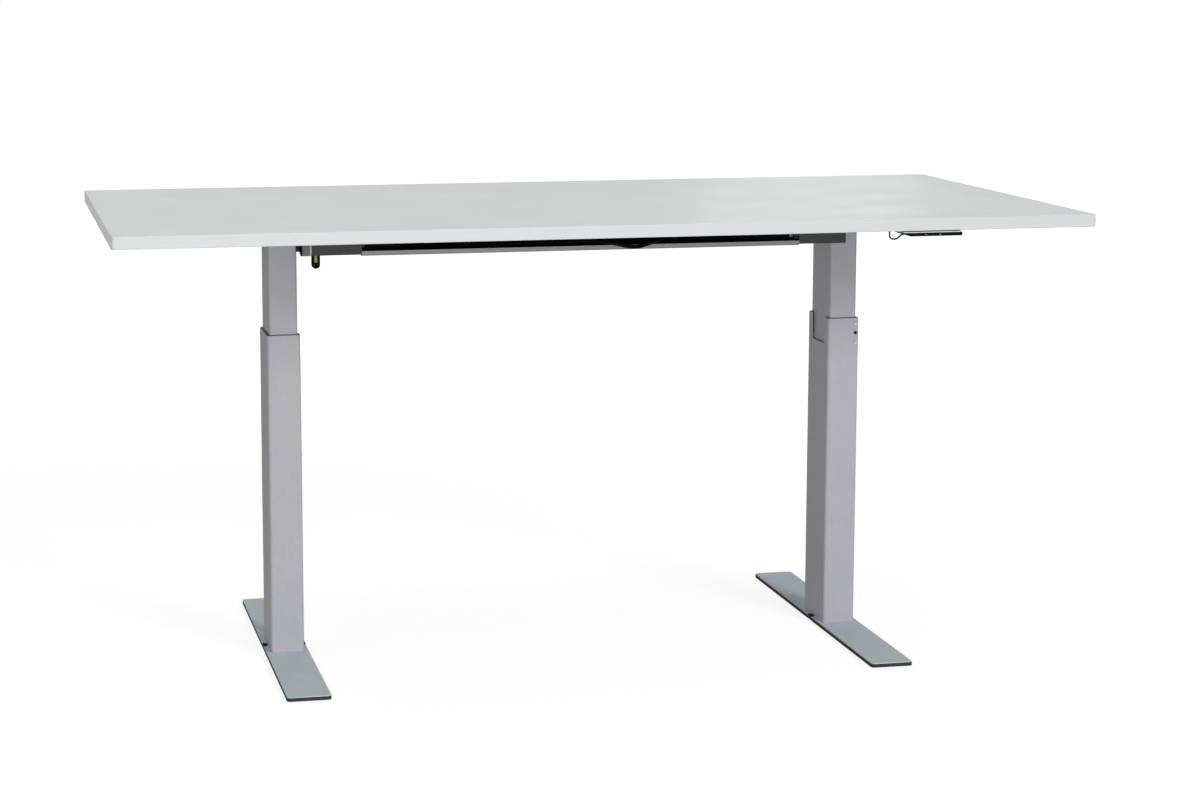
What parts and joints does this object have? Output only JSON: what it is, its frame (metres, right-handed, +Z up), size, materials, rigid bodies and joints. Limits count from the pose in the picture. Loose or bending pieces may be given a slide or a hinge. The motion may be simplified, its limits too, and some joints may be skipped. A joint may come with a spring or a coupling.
{
  "type": "height adjustable standing desk",
  "caption": "Rectangular desktop on telescopic electric lifting columns with flat plate feet, joined under the top by channel rails, with a key handset under the front edge.",
  "frame": {"origin": "on the floor under the centre of the desktop", "axes": "+X along the desk to the right as a seated user sees it, +Y from the front edge to the back, +Z up"},
  "size_m": [1.8, 0.9, 0.865],
  "materials": {
    "desktop_laminate": "light grey laminate on board",
    "edge_band": "light grey",
    "silver_paint": "satin silver grey",
    "foot_enamel": "gloss blue grey",
    "rail_paint": "satin silver grey, black inside",
    "graphite_paint": "satin dark grey",
    "plain_steel": "zinc plated",
    "glide_plastic": "black",
    "foot_rubber": "matt black",
    "cast_aluminium": "as cast",
    "motor_black": "black",
    "black_plastic": "fine grain",
    "lead_jacket": "smooth",
    "pale_plastic": "satin",
    "tan_plastic": "smooth"
  },
  "bodies": {
    "left_leg": {"left_foot": "foot_enamel", "left_front_pad": "foot_rubber", "left_rear_pad": "foot_rubber", "left_front_foot_bolt": "plain_steel", "left_rear_foot_bolt": "plain_steel", "left_outer_tube": "silver_paint", "left_push_tube": "plain_steel", "left_spindle_nut": "glide_plastic", "left_upper_glide": "glide_plastic"},
    "top": {"desktop": "desktop_laminate", "edge_band": "edge_band", "left_inner_tube": "silver_paint", "left_lower_glide": "glide_plastic", "left_head_arm": "silver_paint", "left_gearbox": "cast_aluminium", "left_motor": "motor_black", "left_front_desk_screw": "plain_steel", "left_rear_desk_screw": "plain_steel", "right_inner_tube": "silver_paint", "right_lower_glide": "glide_plastic", "right_head_arm": "silver_paint", "right_gearbox": "cast_aluminium", "right_motor": "motor_black", "right_front_desk_screw": "plain_steel", "right_rear_desk_screw": "plain_steel", "front_rail": "rail_paint", "front_left_rail_end": "graphite_paint", "front_left_tongue_screw": "plain_steel", "front_right_rail_end": "graphite_paint", "front_right_tongue_screw": "plain_steel", "rear_rail": "rail_paint", "rear_left_rail_end": "graphite_paint", "rear_left_tongue_screw": "plain_steel", "rear_right_rail_end": "graphite_paint", "rear_right_tongue_screw": "plain_steel", "control_box": "black_plastic", "left_motor_lead": "lead_jacket", "right_motor_lead": "lead_jacket", "lead_hook": "black_plastic", "connector": "tan_plastic", "handset_base": "black_plastic", "handset_trim": "pale_plastic", "handset_body": "black_plastic", "handset_lead": "lead_jacket", "front_lead_clip": "black_plastic", "rear_lead_clip": "black_plastic"},
    "right_leg": {"right_foot": "foot_enamel", "right_front_pad": "foot_rubber", "right_rear_pad": "foot_rubber", "right_front_foot_bolt": "plain_steel", "right_rear_foot_bolt": "plain_steel", "right_outer_tube": "silver_paint", "right_push_tube": "plain_steel", "right_spindle_nut": "glide_plastic", "right_upper_glide": "glide_plastic"},
    "left_spindle": {"left_spindle": "plain_steel"},
    "right_spindle": {"right_spindle": "plain_steel"},
    "up_key": {"up_key": "black_plastic"},
    "down_key": {"down_key": "black_plastic"}
  },
  "joints": [
    {"name": "lift", "type": "slide", "parent": "left_leg", "child": "top", "axis": [0, 0, 1], "range_m": [-0.18, 0.32]},
    {"name": "right_lift", "type": "slide", "parent": "top", "child": "right_leg", "axis": [0, 0, 1], "range_m": [-0.32, 0.18]},
    {"name": "left_spindle_turn", "type": "hinge", "parent": "top", "child": "left_spindle", "pos_m": [-0.556, 0.02, 0.5], "axis": [0, 0, 1], "range_deg": [-8110, 14410]},
    {"name": "right_spindle_turn", "type": "hinge", "parent": "top", "child": "right_spindle", "pos_m": [0.556, 0.02, 0.5], "axis": [0, 0, 1], "range_deg": [-8110, 14410]},
    {"name": "up_key_press", "type": "slide", "parent": "top", "child": "up_key", "axis": [0, 1, 0], "range_m": [0, 0.0009], "stiffness_N_per_m": 1500},
    {"name": "down_key_press", "type": "slide", "parent": "top", "child": "down_key", "axis": [0, 1, 0], "range_m": [0, 0.0009], "stiffness_N_per_m": 1500}
  ],
  "couplings": [
    {"joint": "right_lift", "follows": "lift", "ratio": -1},
    {"joint": "left_spindle_turn", "follows": "lift", "rad_per_m": 785.4},
    {"joint": "right_spindle_turn", "follows": "lift", "rad_per_m": 785.4}
  ]
}
